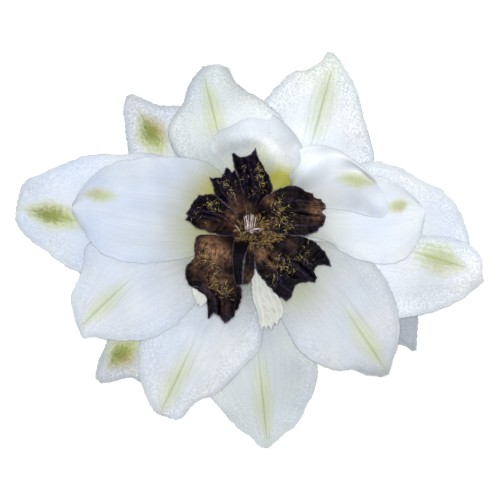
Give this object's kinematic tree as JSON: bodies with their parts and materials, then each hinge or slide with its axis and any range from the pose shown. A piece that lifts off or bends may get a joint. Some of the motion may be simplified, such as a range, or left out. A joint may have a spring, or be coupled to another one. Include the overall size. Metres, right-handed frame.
{
  "type": "delphinium flower",
  "caption": "Picked semi-double delphinium flower with layered white sepals, a dark fringed eye and a short cut stalk, lying on its back.",
  "frame": {"origin": "middle of the box round the flower, on the surface that it lies on", "axes": "+Z out of the flower's face, along its axis; +X along the flower's longest extent, to the right of its face; +Y to the top of its face"},
  "size_m": [0.0706, 0.06, 0.0169],
  "materials": {
    "white_sepal": "matte",
    "dark_petal": "satin",
    "cream_petaloid": "matte",
    "green_stalk": "satin",
    "brown_stamen": "matte",
    "pale_carpel": "satin"
  },
  "bodies": {
    "root": {"sepal_spurred": "white_sepal", "sepal_upper": "white_sepal", "sepal_upper_left": "white_sepal", "sepal_left_outer": "white_sepal", "sepal_left_inner": "white_sepal", "sepal_lower_left_inner": "white_sepal", "sepal_lower_left_outer": "white_sepal", "sepal_lower_middle": "white_sepal", "sepal_bottom": "white_sepal", "sepal_lower_right_inner": "white_sepal", "sepal_right_middle": "white_sepal", "sepal_lower_right_outer": "white_sepal", "sepal_right_outer": "white_sepal", "sepal_right_inner": "white_sepal", "sepal_right_curled": "white_sepal", "sepal_hood": "white_sepal", "petal_top": "dark_petal", "petal_upper_left": "dark_petal", "petal_left": "dark_petal", "petal_right": "dark_petal", "petal_lower_right": "dark_petal", "petal_lower_left": "dark_petal", "petal_folded": "dark_petal", "petaloid_lower": "cream_petaloid", "petaloid_left": "cream_petaloid", "receptacle": "green_stalk", "stamens": "brown_stamen", "carpels": "pale_carpel"}
  },
  "joints": []
}
